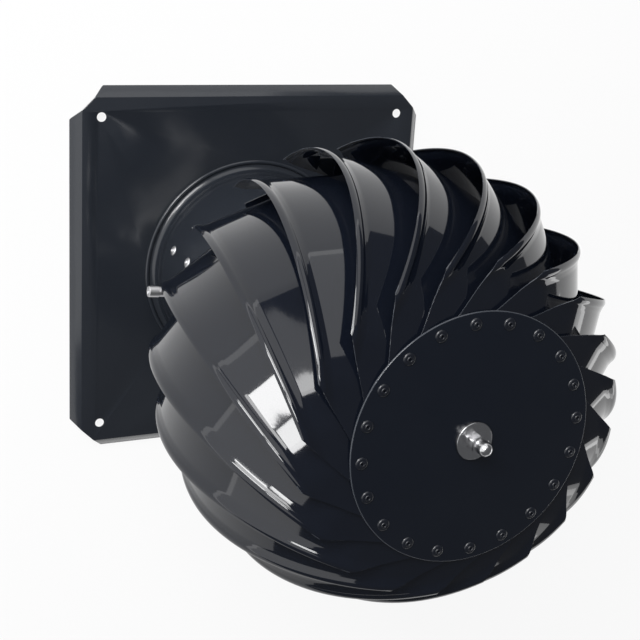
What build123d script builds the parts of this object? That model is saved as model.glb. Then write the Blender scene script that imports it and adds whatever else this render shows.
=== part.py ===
from build123d import *
import os
from math import acos, asin, atan2, cos, degrees, hypot, radians, sin, sqrt, tan

# Rotating chimney cowl: a square base plate with a round collar, and a globe of rolled blades
# that spins on an upright axle. Millimetres, +Z up along the axle, origin at the centre of the
# base, on the plane that the four lips stand on.

# Sheet metal
BLADE_SHEET = 0.6
DISC_SHEET = 1.2
RING_SHEET = 1.2
PLATE_SHEET = 1.0
COLLAR_SHEET = 0.8

# Base plate: holes at the corners, and a lip folded down at 45 degrees along each side
HOLE_PITCH = 250.0
HOLE_EDGE = 15.0
HOLE_DIA = 7.2
LIP_OUT = 8.0
LIP_DROP = 8.0
CORNER_CUT = 26.0

# Collar
COLLAR_DIA = 162.0
COLLAR_HEIGHT = 158.0
COLLAR_FLARE = 5.0
BEAD_WIDTH = 3.4
BEAD_HEIGHT = 2.0
BEAD_CROWN = 0.6

# Rivets, kept to a few flat sides because there are so many
RIVET_SIDES = 8
RIVET_DIA = 4.0
RIVET_HEAD_SPREAD = 1.9
RIVET_HEAD_HEIGHT = 1.5
RIVET_HEAD_CHAMFER = 0.9
RIVET_TAIL_LENGTH = 2.0

# Bearings: bore, outside, width, wall of the inner ring, gap between the shields and that ring
BEARING_BORE = 8.0
BEARING_DIA = 22.0
BEARING_WIDTH = 7.0
INNER_RING_WALL = 2.05
SHIELD_GAP = 0.3

# Housing that holds the bearings
HOUSING_HEIGHT = 58.0
HOUSING_WALL = 2.5
HOUSING_SEAT = 1.5
HOUSING_FLANGE_THICK = 4.0
HOUSING_FLANGE_MARGIN = 2.5
HOUSING_RIVET_HEAD_SPREAD = 1.2
HOUSING_RIVET_HEAD_HEIGHT = 2.4

# Bridge in the collar: a strap with two legs
BRIDGE_ANGLE = 160.6
STRAP_MARGIN = 0.5
STRAP_THICK = 3.0
STRAP_SEAT = 1.0
STRAP_DROP = 30.0
LEG_RIVET_LEVEL = 32.6
LEG_RIVET_PITCH = 33.5
LEG_END = 10.6

# Screw and its spacer on the collar, beside a leg of the bridge
SCREW_LEVEL = 73.6
SCREW_DIA = 5.0
SCREW_HEAD_WALL = 1.7
SCREW_HEAD_LENGTH = 8.0
SCREW_HEAD_CHAMFER = 0.5
SCREW_SOCKET_ACROSS = 4.0
SCREW_SOCKET_DEPTH = 3.0
SCREW_END = 2.0
SCREW_NUT_WALL = 1.5
SCREW_NUT_HEIGHT = 4.0
SCREW_NUT_GAP = 2.1
SPACER_WALL = 1.25
SPACER_LENGTH = 20.0

# Axle and its lower fastening
AXLE_STUD_DIA = 6.0
LOWER_NUT_WALL = 2.5
LOWER_NUT_HEIGHT = 6.5
LOWER_NUT_FACE = 1.5
AXLE_TAIL_END = 3.0

# Top disc and its fastening
DISC_DIA = 157.5
DISC_CHAMFER = 0.35
WASHER_DIA = 22.0
WASHER_THICK = 1.6
CAP_NUT_WALL = 2.0
CAP_NUT_HEX_HEIGHT = 7.0
CAP_NUT_NECK_STEP = 0.3
CAP_NUT_DOME_HEIGHT = 3.2
CAP_NUT_DOME_WIDTH = 2.6
CAP_NUT_HEIGHT = 16.5
CAP_NUT_CROWN = 2.9
STUD_END_GAP = 1.6

# Blades: a strip rolled upwards and downwards from the globe's widest level
BLADE_COUNT = 20
FIRST_BLADE_ANGLE = 147.4
ROLL_TILT = -7.1
GLOBE_OVERHANG = 48.4
BELLY_RISE = 88.4
UPPER_ROLL_RADIUS = 137.4
UPPER_ROLL_INSIDE = 32.2
STRIP_EDGE = 79.9
STRIP_WIDTH = 62.6
FLANGE_WIDTH = 9.0
FLANGE_ANGLE = 14.0
FLANGE_RUN_ON = 27.0

# Flat shoulder of a blade and its tongue under the disc
SHOULDER_SLOPE = 10.0
SHOULDER_EDGE_LEAD = 80.9
SHOULDER_LAP = 4.25
TONGUE_END = 7.6
TONGUE_GAP = 5.0
TOP_RIVET_INSET = 7.15
TOP_RIVET_SIDE = 9.5

# Feet of the blades on the lower ring
FOOT_LAP = 5.2
FOOT_ROOM = 4.7
FOOT_TAB_FROM = 8.0
FOOT_TAB_WIDTH = 20.0
FOOT_TAB_INSET = 0.5
RING_GAP = 13.0
RING_MARGIN = 6.9
HEAD_MARGIN = 0.6

# Clearances
STUD_CLEARANCE = 0.1
FIT_CLEARANCE = 0.05
RIVET_CLEARANCE = 0.05

# Far longer than the cowl, and well past a sheet: used for cuts only
CUT_LONG = 1000.0
CUT_PAST = 10.0

# Heads and holes
rivet_head_dia = RIVET_DIA + 2 * RIVET_HEAD_SPREAD
rivet_hole_dia = RIVET_DIA + 2 * RIVET_CLEARANCE
screw_hole_dia = SCREW_DIA + 2 * FIT_CLEARANCE
stud_hole_dia = AXLE_STUD_DIA + 2 * STUD_CLEARANCE

# Plate and collar
plate_top = LIP_DROP
plate_flat = HOLE_PITCH + 2 * HOLE_EDGE
collar_radius = COLLAR_DIA / 2
collar_bore_radius = collar_radius - COLLAR_SHEET
collar_top = plate_top + COLLAR_HEIGHT

# Bearings, housing and bridge
inner_ring_dia = BEARING_BORE + 2 * INNER_RING_WALL
housing_dia = BEARING_DIA + 2 * HOUSING_WALL
housing_rivet_head_dia = RIVET_DIA + 2 * HOUSING_RIVET_HEAD_SPREAD
housing_rivet_circle = housing_dia + housing_rivet_head_dia + 2 * HOUSING_FLANGE_MARGIN
housing_flange_dia = housing_rivet_circle + housing_rivet_head_dia + 2 * HOUSING_FLANGE_MARGIN
strap_width = housing_dia + 2 * STRAP_MARGIN
strap_top = collar_top - STRAP_DROP
housing_top = strap_top + HOUSING_HEIGHT
lower_bearing_level = strap_top
upper_bearing_level = housing_top - BEARING_WIDTH
leg_rivet_levels = (plate_top + LEG_RIVET_LEVEL, plate_top + LEG_RIVET_LEVEL + LEG_RIVET_PITCH)
leg_bottom = plate_top + LEG_RIVET_LEVEL - LEG_END

# Screw beside the bridge's leg
screw_nut_across = SCREW_DIA + 2 * SCREW_NUT_WALL
screw_offset = strap_width / 2 + screw_nut_across / sqrt(3) + SCREW_NUT_GAP
screw_angle = BRIDGE_ANGLE + degrees(asin(screw_offset / collar_radius))
screw_level = plate_top + SCREW_LEVEL

# Feet of the blades and the lower ring
foot_level = collar_top - FOOT_LAP
ring_bore_radius = collar_radius + RING_GAP
foot_tab_inner = ring_bore_radius + FOOT_TAB_INSET
foot_rivet_inward = foot_tab_inner + rivet_head_dia / 2 + HEAD_MARGIN
foot_rivet_along = FOOT_TAB_FROM + FOOT_TAB_WIDTH / 2
ring_outer_radius = hypot(foot_rivet_inward, foot_rivet_along) + RING_MARGIN

# The roll, in the blade's tilted frame: its two radii and the arc that ends under the disc
tilt = radians(ROLL_TILT)
slope = radians(SHOULDER_SLOPE)
blade_step = 360 / BLADE_COUNT
disc_radius = DISC_DIA / 2
roll_level = foot_level + BELLY_RISE
roll_reach = collar_radius + GLOBE_OVERHANG
foot_fall = BELLY_RISE * cos(tilt) + foot_rivet_along * sin(tilt)
foot_in = roll_reach - (ring_bore_radius + rivet_head_dia + FOOT_ROOM)
lower_roll_radius = (foot_in**2 + foot_fall**2) / (2 * foot_in)
flange_rise = FLANGE_WIDTH * sin(radians(FLANGE_ANGLE))
flange_run = FLANGE_WIDTH * cos(radians(FLANGE_ANGLE))
web_radius = UPPER_ROLL_RADIUS - flange_rise
upper_centre = roll_reach - UPPER_ROLL_RADIUS
roll_end_reach = disc_radius - UPPER_ROLL_INSIDE
upper_roll_arc = acos((roll_end_reach - upper_centre) / web_radius)
roll_end_height = web_radius * sin(upper_roll_arc)

# The tongue and its rivet; the disc lies on the shoulder's plane at the rivet
shoulder_end_radius = disc_radius - SHOULDER_LAP
top_rivet_radius = disc_radius - TOP_RIVET_INSET
top_rivet_lead = SHOULDER_EDGE_LEAD - degrees(TOP_RIVET_SIDE / top_rivet_radius)
tongue_inner_radius = top_rivet_radius - TONGUE_END
tongue_width = 2 * tongue_inner_radius * sin(radians(blade_step / 2)) - TONGUE_GAP
rivet_x = top_rivet_radius * cos(radians(top_rivet_lead))
rivet_y = top_rivet_radius * sin(radians(top_rivet_lead))
shoulder_rise = (roll_end_reach - rivet_x) * tan(slope)
disc_under = roll_level + (roll_end_height + shoulder_rise + rivet_y * sin(tilt)) / cos(tilt)
disc_top = disc_under + DISC_SHEET


def ring_solid(outer_radius, inner_radius, height, level):
    """Flat ring or tube with its lower face at the level."""
    ring = Circle(outer_radius) - Circle(inner_radius)
    return Pos(0, 0, level) * extrude(ring, height)


def radial(angle, level):
    """Place whose +Z points outwards from the axle at the angle and height."""
    return Rot(0, 0, angle) * Pos(0, 0, level) * Rot(0, 90, 0)


def hexagon(across, height):
    """Hexagonal prism standing on the XY plane."""
    return extrude(RegularPolygon(across / sqrt(3), 6), height)


def drill(dia, thickness):
    """Cutting cylinder that reaches past both faces of a sheet of the thickness."""
    return Cylinder(dia / 2, 4 * thickness)


def rivet_bar(dia, length):
    """Bar with a rivet's sides, standing on the XY plane."""
    return extrude(RegularPolygon(dia / 2, RIVET_SIDES), length)


def rivet_drill(thickness):
    """Cutting bar for a rivet's hole, reaching past both faces of a sheet of the thickness."""
    return Pos(0, 0, -2 * thickness) * rivet_bar(rivet_hole_dia, 4 * thickness)


def below(level):
    """Everything under the level."""
    return Pos(0, 0, level - CUT_LONG / 2) * Box(CUT_LONG, CUT_LONG, CUT_LONG)


def loft_square(half_low, half_high, high):
    """Square block from Z 0 whose sides lean from one half width to another."""
    bottom = Rectangle(2 * half_low, 2 * half_low)
    top = Pos(0, 0, high) * Rectangle(2 * half_high, 2 * half_high)
    return loft([bottom, top])


def base_plate():
    """Square sheet with a lip along each side, cut across its corners."""
    half_foot = plate_flat / 2 + LIP_OUT
    outer = loft_square(half_foot, plate_flat / 2, plate_top)
    sideways = PLATE_SHEET * hypot(LIP_OUT, LIP_DROP) / LIP_DROP
    inner_height = LIP_DROP - PLATE_SHEET
    inner_foot = half_foot - sideways
    inner = loft_square(inner_foot, inner_foot - LIP_OUT * inner_height / LIP_DROP, inner_height)
    plate = outer - inner
    outline = Rectangle(2 * half_foot, 2 * half_foot)
    outline = chamfer(outline.vertices(), CORNER_CUT)
    plate = plate & extrude(outline, plate_top)
    plate -= Cylinder(collar_bore_radius, CUT_LONG)
    holes = GridLocations(HOLE_PITCH, HOLE_PITCH, 2, 2)
    return plate - holes * Cylinder(HOLE_DIA / 2, CUT_LONG)


def collar():
    """Tube that flares out on the plate and ends in a bead."""
    low = plate_top
    inside = collar_bore_radius
    rim = collar_radius + COLLAR_FLARE
    profile = Polyline(
        (rim + BEAD_WIDTH, low), (inside, low), (inside, collar_top), (collar_radius, collar_top),
        (collar_radius, low + COLLAR_FLARE), (rim, low + COLLAR_SHEET), (rim, low + BEAD_HEIGHT),
        (rim + BEAD_WIDTH / 2, low + BEAD_HEIGHT + BEAD_CROWN), (rim + BEAD_WIDTH, low + BEAD_HEIGHT),
        close=True,
    )
    tube = revolve(make_face(Plane.XZ * profile), Axis.Z)
    for place in leg_rivet_places(collar_radius):
        tube -= place * rivet_drill(COLLAR_SHEET)
    screw_place = radial(screw_angle, screw_level) * Pos(0, 0, collar_radius)
    return tube - screw_place * drill(screw_hole_dia, COLLAR_SHEET)


def leg_rivet_places(radius):
    """Places of the leg rivets, at a distance from the axle."""
    sides = (BRIDGE_ANGLE, BRIDGE_ANGLE + 180)
    return [radial(side, level) * Pos(0, 0, radius) for side in sides for level in leg_rivet_levels]


def housing_rivet_places(level):
    """The two rivet places of the housing's flange, along the strap."""
    return Rot(0, 0, BRIDGE_ANGLE) * Pos(0, 0, level) * PolarLocations(housing_rivet_circle / 2, 2)


def along_strap(height, level):
    """Block as wide as the strap, running the collar's whole width."""
    block = Box(COLLAR_DIA, strap_width, height, align=(Align.CENTER, Align.CENTER, Align.MIN))
    return Rot(0, 0, BRIDGE_ANGLE) * Pos(0, 0, level) * block


def bridge():
    """Strap bent into an upside-down U, its legs formed to the collar's wall."""
    height = strap_top - leg_bottom
    legs = ring_solid(collar_bore_radius, collar_bore_radius - STRAP_THICK, height, leg_bottom)
    bar = Pos(0, 0, strap_top - STRAP_THICK) * extrude(Circle(collar_bore_radius), STRAP_THICK)
    strap = (legs + bar) & along_strap(height, leg_bottom)
    bore_dia = BEARING_DIA - 2 * STRAP_SEAT
    strap -= Pos(0, 0, strap_top) * drill(bore_dia, STRAP_THICK)
    strap -= housing_rivet_places(strap_top) * rivet_drill(STRAP_THICK)
    for place in leg_rivet_places(collar_bore_radius):
        strap -= place * rivet_drill(STRAP_THICK)
    return strap


def rivet(grip, sunk=0):
    """Rivet with its head's seat at Z 0; a sunk head reaches down to a curved seat."""
    head = Pos(0, 0, -sunk) * rivet_bar(rivet_head_dia, RIVET_HEAD_HEIGHT + sunk)
    head = chamfer(head.edges().group_by(Axis.Z)[-1], RIVET_HEAD_CHAMFER)
    return head, Pos(0, 0, -grip - RIVET_TAIL_LENGTH) * rivet_bar(RIVET_DIA, grip + RIVET_TAIL_LENGTH)


def leg_rivets():
    """Rivets through the collar and the strap's legs."""
    wall = Cylinder(collar_radius, CUT_LONG)
    head, shank = rivet(COLLAR_SHEET + STRAP_THICK, RIVET_HEAD_HEIGHT)
    return [place * head - wall + place * shank for place in leg_rivet_places(collar_radius)]


def collar_screw():
    """Socket-head screw, put in from outside through its spacer and the collar."""
    length = SPACER_LENGTH + COLLAR_SHEET + SCREW_NUT_HEIGHT + SCREW_END
    head = extrude(Circle(SCREW_DIA / 2 + SCREW_HEAD_WALL), SCREW_HEAD_LENGTH)
    head = chamfer(head.edges().group_by(Axis.Z)[-1], SCREW_HEAD_CHAMFER)
    socket = Pos(0, 0, SCREW_HEAD_LENGTH - SCREW_SOCKET_DEPTH) * hexagon(
        SCREW_SOCKET_ACROSS, SCREW_HEAD_LENGTH
    )
    shank = Pos(0, 0, -length) * extrude(Circle(SCREW_DIA / 2), length)
    place = radial(screw_angle, screw_level) * Pos(0, 0, collar_radius + SPACER_LENGTH)
    return place * (head + shank - socket)


def screw_spacer():
    """Round spacer between the screw's head and the collar's wall."""
    tube = Circle(screw_hole_dia / 2 + SPACER_WALL) - Circle(screw_hole_dia / 2)
    tube = extrude(tube, collar_radius + SPACER_LENGTH)
    return radial(screw_angle, screw_level) * tube - Cylinder(collar_radius, CUT_LONG)


def screw_nut():
    """Nut inside the collar, on the screw's end."""
    nut = hexagon(screw_nut_across, SCREW_NUT_HEIGHT) - drill(screw_hole_dia, SCREW_NUT_HEIGHT)
    corner = screw_nut_across / sqrt(3)
    seat = sqrt(collar_bore_radius**2 - corner**2) - SCREW_NUT_HEIGHT
    return radial(screw_angle, screw_level) * Pos(0, 0, seat) * nut


def bearing_housing():
    """Turned tube with a flange on the bridge and a seat for a bearing at each end."""
    bore_radius = BEARING_DIA / 2 - HOUSING_SEAT
    flange = ring_solid(housing_flange_dia / 2, bore_radius, HOUSING_FLANGE_THICK, strap_top)
    flange = flange & along_strap(HOUSING_FLANGE_THICK, strap_top)
    housing = flange + ring_solid(housing_dia / 2, bore_radius, HOUSING_HEIGHT, strap_top)
    for level in (lower_bearing_level, upper_bearing_level):
        housing -= Pos(0, 0, level) * extrude(Circle(BEARING_DIA / 2), BEARING_WIDTH)
    return housing - housing_rivet_places(strap_top) * rivet_drill(HOUSING_FLANGE_THICK)


def housing_rivets():
    """Solid rivets that hold the housing's flange on the bridge."""
    grip = STRAP_THICK + HOUSING_FLANGE_THICK
    head = rivet_bar(housing_rivet_head_dia, HOUSING_RIVET_HEAD_HEIGHT)
    shank = rivet_bar(RIVET_DIA, grip)
    solid = Pos(0, 0, -HOUSING_RIVET_HEAD_HEIGHT) * head + shank + Pos(0, 0, grip) * head
    return [place * solid for place in housing_rivet_places(strap_top - STRAP_THICK)]


def outer_ring(level):
    """Bearing's outer ring with its two shields; the balls are sealed behind them."""
    shield_radius = inner_ring_dia / 2 + SHIELD_GAP
    return ring_solid(BEARING_DIA / 2, shield_radius, BEARING_WIDTH, level)


def inner_ring(level):
    """Bearing's inner ring."""
    return ring_solid(inner_ring_dia / 2, BEARING_BORE / 2, BEARING_WIDTH, level)


def axle():
    """Stepped bar: bearing seat below, a thick span through the globe and a stud on top."""
    bottom = lower_bearing_level - LOWER_NUT_FACE - LOWER_NUT_HEIGHT - AXLE_TAIL_END
    stud_foot = disc_under
    stud_top = disc_top + WASHER_THICK + CAP_NUT_HEIGHT - CAP_NUT_CROWN - STUD_END_GAP
    seat = Pos(0, 0, bottom) * extrude(Circle(BEARING_BORE / 2), housing_top - bottom)
    span = Pos(0, 0, housing_top) * extrude(Circle(inner_ring_dia / 2), stud_foot - housing_top)
    stud = Pos(0, 0, stud_foot) * extrude(Circle(AXLE_STUD_DIA / 2), stud_top - stud_foot)
    return seat + span + stud


def lower_nut():
    """Nut that draws the axle down on the bearings, with a round face for the inner ring."""
    face = extrude(Circle(inner_ring_dia / 2), LOWER_NUT_FACE + LOWER_NUT_HEIGHT)
    nut = hexagon(BEARING_BORE + 2 * LOWER_NUT_WALL, LOWER_NUT_HEIGHT) + face
    nut -= drill(BEARING_BORE + 2 * STUD_CLEARANCE, LOWER_NUT_HEIGHT)
    return Pos(0, 0, lower_bearing_level - LOWER_NUT_FACE - LOWER_NUT_HEIGHT) * nut


def top_rivet_places(level):
    """One place for each blade's tongue."""
    return [
        Rot(0, 0, blade_angle(n) + top_rivet_lead) * Pos(top_rivet_radius, 0, level)
        for n in range(BLADE_COUNT)
    ]


def top_disc():
    """Flat disc that covers the blades' upper ends."""
    disc = Pos(0, 0, disc_under) * extrude(Circle(disc_radius), DISC_SHEET)
    disc = chamfer(disc.edges().group_by(Axis.Z)[-1], DISC_CHAMFER)
    disc -= Pos(0, 0, disc_under) * drill(stud_hole_dia, DISC_SHEET)
    for place in top_rivet_places(disc_under):
        disc -= place * rivet_drill(DISC_SHEET)
    return disc


def top_washer():
    """Large washer round the axle's stud, on the disc."""
    return ring_solid(WASHER_DIA / 2, stud_hole_dia / 2, WASHER_THICK, disc_top)


def cap_nut():
    """Tall domed nut with a blind bore for the stud."""
    across = AXLE_STUD_DIA + 2 * CAP_NUT_WALL
    neck = extrude(Circle(across / 2 - CAP_NUT_NECK_STEP), CAP_NUT_HEIGHT)
    neck = chamfer(neck.edges().group_by(Axis.Z)[-1], CAP_NUT_DOME_HEIGHT, CAP_NUT_DOME_WIDTH)
    nut = hexagon(across, CAP_NUT_HEX_HEIGHT) + neck
    nut -= Cylinder(stud_hole_dia / 2, 2 * (CAP_NUT_HEIGHT - CAP_NUT_CROWN))
    return Pos(0, 0, disc_top + WASHER_THICK) * nut


def top_rivets():
    """One rivet through the disc and each blade's tongue."""
    head, shank = rivet(DISC_SHEET + BLADE_SHEET)
    return [place * (head + shank) for place in top_rivet_places(disc_top)]


def blade_angle(n):
    """Direction that a blade's widest line faces."""
    return FIRST_BLADE_ANGLE - n * blade_step


def foot_rivet_places(level):
    """One place for each blade's foot tab."""
    return [
        Rot(0, 0, blade_angle(n)) * Pos(foot_rivet_inward, foot_rivet_along, level)
        for n in range(BLADE_COUNT)
    ]


def lower_rivets():
    """One rivet through each blade's foot tab and the lower ring."""
    head, shank = rivet(BLADE_SHEET + RING_SHEET)
    return [place * (head + shank) for place in foot_rivet_places(foot_level + BLADE_SHEET)]


def lower_ring():
    """Flat ring under the blades' feet."""
    ring = ring_solid(ring_outer_radius, ring_bore_radius, RING_SHEET, foot_level - RING_SHEET)
    for place in foot_rivet_places(foot_level):
        ring -= place * rivet_drill(RING_SHEET)
    return ring


def strip_section():
    """Cross-section of the strip: a flat web and a bent flange along its free edge."""
    lean = radians(FLANGE_ANGLE)
    web = roll_reach - flange_rise
    crease = STRIP_EDGE - flange_run
    inner_crease = crease + BLADE_SHEET * tan(lean / 2)
    inner = STRIP_EDGE - STRIP_WIDTH
    fold_edge = (roll_reach - BLADE_SHEET * cos(lean), STRIP_EDGE + BLADE_SHEET * sin(lean))
    outline = Polyline(
        (web, inner), (web, crease), (roll_reach, STRIP_EDGE), fold_edge,
        (web - BLADE_SHEET, inner_crease), (web - BLADE_SHEET, inner), close=True,
    )
    return make_face(outline)


def rolled_strip():
    """The strip rolled upwards and downwards about two axes beside the globe's middle."""
    section = strip_section()
    upper_axis = Axis((upper_centre, 0, 0), (0, -1, 0))
    lower_axis = Axis((roll_reach - lower_roll_radius, 0, 0), (0, 1, 0))
    drop = BELLY_RISE * cos(tilt) + STRIP_EDGE * abs(sin(tilt))
    lower_arc = degrees(asin(drop / (lower_roll_radius - flange_rise - BLADE_SHEET)))
    upper = revolve(section, upper_axis, degrees(upper_roll_arc))
    return upper + revolve(section, lower_axis, lower_arc)


def flange_run_on():
    """The flange carried over the bend and straight on along the shoulder."""
    outer = Pos(-web_radius - upper_centre, 0) * strip_section()
    flange = outer & Pos(0, STRIP_EDGE) * Rectangle(2 * roll_reach, 2 * flange_run)
    raised = flange & Pos(roll_reach / 2, STRIP_EDGE) * Rectangle(roll_reach, 2 * flange_run)
    bend_at = Pos(roll_end_reach, 0, roll_end_height)
    turn = 90 - SHOULDER_SLOPE - degrees(upper_roll_arc)
    fan = revolve(raised, Axis((0, 0, 0), (0, -1, 0)), turn)
    straight = extrude(flange, FLANGE_RUN_ON)
    return bend_at * (Rot(0, -degrees(upper_roll_arc), 0) * fan + Rot(0, SHOULDER_SLOPE - 90, 0) * straight)


def shoulder_block(depth, past):
    """Block under the flat shoulder, its top face sunk by the depth and its sides moved out."""
    sunk = roll_end_height - depth / cos(slope)
    inner_x = -tongue_width
    outer_x = roll_end_reach + past
    bottom = roll_end_height - disc_radius - past
    fall = (roll_end_height - bottom) / tan(upper_roll_arc)
    side = Polyline(
        (outer_x, sunk - past * tan(slope)), (inner_x, sunk + (roll_end_reach - inner_x) * tan(slope)),
        (inner_x, bottom), (outer_x - fall, bottom), close=True,
    )
    block = extrude(make_face(Plane.XZ * side), STRIP_WIDTH / 2 + past, both=True)
    return Pos(0, STRIP_EDGE - STRIP_WIDTH / 2, 0) * block


def shoulder():
    """Flat top of the blade, running up to the disc and levelled off under it."""
    outside = in_place(shoulder_block(0, 0)) & below(disc_under)
    inside = in_place(shoulder_block(BLADE_SHEET, CUT_PAST)) & below(disc_under - BLADE_SHEET)
    return outside - inside


def in_place(shape):
    """Moves a shape from the blade's tilted frame to the globe's widest level."""
    return Pos(0, 0, roll_level) * Rot(ROLL_TILT, 0, 0) * shape


def edge_cut():
    """Prism that cuts the shoulder from the flange's end to the disc's edge."""
    end_x = upper_centre + UPPER_ROLL_RADIUS * cos(upper_roll_arc)
    end_height = UPPER_ROLL_RADIUS * sin(upper_roll_arc)
    end_y = STRIP_EDGE * cos(tilt) - end_height * sin(tilt)
    lead = radians(SHOULDER_EDGE_LEAD)
    turn = atan2(disc_radius * sin(lead) - end_y, disc_radius * cos(lead) - end_x)
    half = Pos(CUT_LONG / 2, -CUT_LONG / 2) * Rectangle(CUT_LONG, CUT_LONG)
    return Pos(end_x, end_y, roll_level) * Rot(0, 0, degrees(turn)) * extrude(half, CUT_LONG)


def tongue_zone():
    """Upright block round the tongue, along the rivet's direction."""
    length = shoulder_end_radius + tongue_width - tongue_inner_radius
    block = Box(length, tongue_width, CUT_LONG)
    return Rot(0, 0, top_rivet_lead) * Pos(tongue_inner_radius + length / 2, 0, 0) * block


def foot_tab():
    """Tab bent inwards at the blade's foot, with its rivet hole."""
    outline = Pos(foot_tab_inner + roll_reach / 2, foot_rivet_along) * Rectangle(roll_reach, FOOT_TAB_WIDTH)
    tab = Pos(0, 0, foot_level) * extrude(outline, BLADE_SHEET)
    drum = Rot(90, 0, 0) * Cylinder(lower_roll_radius - flange_rise, CUT_LONG)
    tab = tab & in_place(Pos(roll_reach - lower_roll_radius, 0, 0) * drum)
    hole = Pos(foot_rivet_inward, foot_rivet_along, foot_level) * rivet_drill(BLADE_SHEET)
    return tab - hole


def blade():
    """One blade in its own direction: its widest line faces +X."""
    sheet = in_place(rolled_strip() + flange_run_on()) + shoulder()
    sheet -= below(foot_level)
    sheet -= Cylinder(shoulder_end_radius, CUT_LONG) - tongue_zone()
    sheet -= edge_cut()
    sheet -= Pos(0, 0, disc_under) * extrude(Circle(disc_radius), CUT_PAST)
    rivet_place = Rot(0, 0, top_rivet_lead) * Pos(top_rivet_radius, 0, disc_under - CUT_PAST)
    sheet -= rivet_place * rivet_bar(rivet_hole_dia, 2 * CUT_PAST)
    return sheet + foot_tab()


def save(name, shape):
    """Write one node; a list becomes a group of separate solids."""
    if isinstance(shape, list):
        shape = Compound(children=shape)
    export_step(shape, f"parts/{name}.step")


os.makedirs("parts", exist_ok=True)

save("base_plate", base_plate())
save("collar", collar())
save("bearing_bridge", bridge())
save("bridge_rivets", leg_rivets())
save("collar_screw", collar_screw())
save("screw_spacer", screw_spacer())
save("screw_nut", screw_nut())
save("bearing_housing", bearing_housing())
save("housing_rivets", housing_rivets())
save("lower_bearing_outer_ring", outer_ring(lower_bearing_level))
save("upper_bearing_outer_ring", outer_ring(upper_bearing_level))
save("lower_bearing_inner_ring", inner_ring(lower_bearing_level))
save("upper_bearing_inner_ring", inner_ring(upper_bearing_level))
save("axle", axle())
save("lower_nut", lower_nut())
save("top_disc", top_disc())
save("top_washer", top_washer())
save("cap_nut", cap_nut())
save("lower_ring", lower_ring())
save("top_rivets", top_rivets())
save("lower_rivets", lower_rivets())
master_blade = blade()
for number in range(BLADE_COUNT):
    save(f"blade_{number + 1:02d}", Rot(0, 0, blade_angle(number)) * master_blade)
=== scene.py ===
import bmesh
import bpy
from math import asin, cos, pi, radians, sin, sqrt
from mathutils import Matrix, Vector


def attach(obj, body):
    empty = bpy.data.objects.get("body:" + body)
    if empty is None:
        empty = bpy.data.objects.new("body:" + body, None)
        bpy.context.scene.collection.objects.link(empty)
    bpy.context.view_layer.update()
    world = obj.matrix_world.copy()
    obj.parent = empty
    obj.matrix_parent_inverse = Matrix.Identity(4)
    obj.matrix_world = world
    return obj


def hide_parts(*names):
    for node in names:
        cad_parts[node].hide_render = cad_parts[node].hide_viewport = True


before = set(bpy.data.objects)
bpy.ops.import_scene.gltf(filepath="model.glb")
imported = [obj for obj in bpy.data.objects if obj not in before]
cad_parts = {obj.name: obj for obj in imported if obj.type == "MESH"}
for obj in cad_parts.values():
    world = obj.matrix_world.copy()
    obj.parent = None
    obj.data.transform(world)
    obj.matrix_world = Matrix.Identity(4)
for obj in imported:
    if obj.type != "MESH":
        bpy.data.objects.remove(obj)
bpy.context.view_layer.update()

MM = 0.001
MERGE_DISTANCE = 0.002 * MM
# %% [markdown]
# Many pieces of the cowl are turned on a lathe or pressed round. They could start as Blender's
# own cylinders, but an outline that is spun about the upright axis holds every step and
# rounding of the real section. Sharp folds stay sharp, and the rest is shaded smooth.
# %% Helpers for meshes
def smooth_by_angle(mesh, angle=30):
    """Shades smooth, except across folds sharper than the angle in degrees."""
    mesh.polygons.foreach_set("use_smooth", [True] * len(mesh.polygons))
    mesh.set_sharp_from_angle(angle=radians(angle))
    mesh.update()


def piece_from(name, work, angle=30):
    """Turns a bmesh into an object in the scene, at the origin."""
    mesh = bpy.data.meshes.new(name)
    work.to_mesh(mesh)
    work.free()
    smooth_by_angle(mesh, angle)
    piece = bpy.data.objects.new(name, mesh)
    bpy.context.scene.collection.objects.link(piece)
    return piece


def turned(outline, segments, solid=False):
    """Spins an outline of (radius, height) points in millimetres about the upright axis.

    The outline of a solid starts and ends on the axis. Any other outline is closed.
    """
    work = bmesh.new()
    points = [work.verts.new((r * MM, 0, z * MM)) for r, z in outline]
    pairs = list(zip(points, points[1:]))
    if not solid:
        pairs.append((points[-1], points[0]))
    edges = [work.edges.new(pair) for pair in pairs]
    bmesh.ops.spin(
        work, geom=points + edges, axis=(0, 0, 1), cent=(0, 0, 0), steps=segments, angle=2 * pi,
    )
    bmesh.ops.remove_doubles(work, verts=work.verts, dist=MERGE_DISTANCE)
    bmesh.ops.recalc_face_normals(work, faces=work.faces)
    return work


def arc(cx, cz, radius, start, end, steps):
    """Points of an arc in the outline's plane, angles in degrees."""
    turns = [radians(start + (end - start) * i / steps) for i in range(steps + 1)]
    return [(cx + radius * cos(t), cz + radius * sin(t)) for t in turns]


def add_prism(work, corners, low, high):
    """Adds an upright block over a loop of corners, between two levels in millimetres."""
    floor = [work.verts.new((x * MM, y * MM, low * MM)) for x, y in corners]
    top = [work.verts.new((x * MM, y * MM, high * MM)) for x, y in corners]
    work.faces.new(list(reversed(floor)))
    work.faces.new(top)
    for i in range(len(corners)):
        j = (i + 1) % len(corners)
        work.faces.new((floor[i], floor[j], top[j], top[i]))


def merge_into(target, work):
    """Adds one bmesh to another and frees it."""
    shape = bpy.data.meshes.new("merged")
    work.to_mesh(shape)
    work.free()
    target.from_mesh(shape)
    bpy.data.meshes.remove(shape)


# %% Helpers for modifiers
def round_edges(piece, width, segments, angle):
    """Adds a bevel of a width in millimetres to folds sharper than an angle in degrees."""
    soft = piece.modifiers.new("rounding", "BEVEL")
    soft.width = width * MM
    soft.segments = segments
    soft.limit_method = "ANGLE"
    soft.angle_limit = radians(angle)


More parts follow.
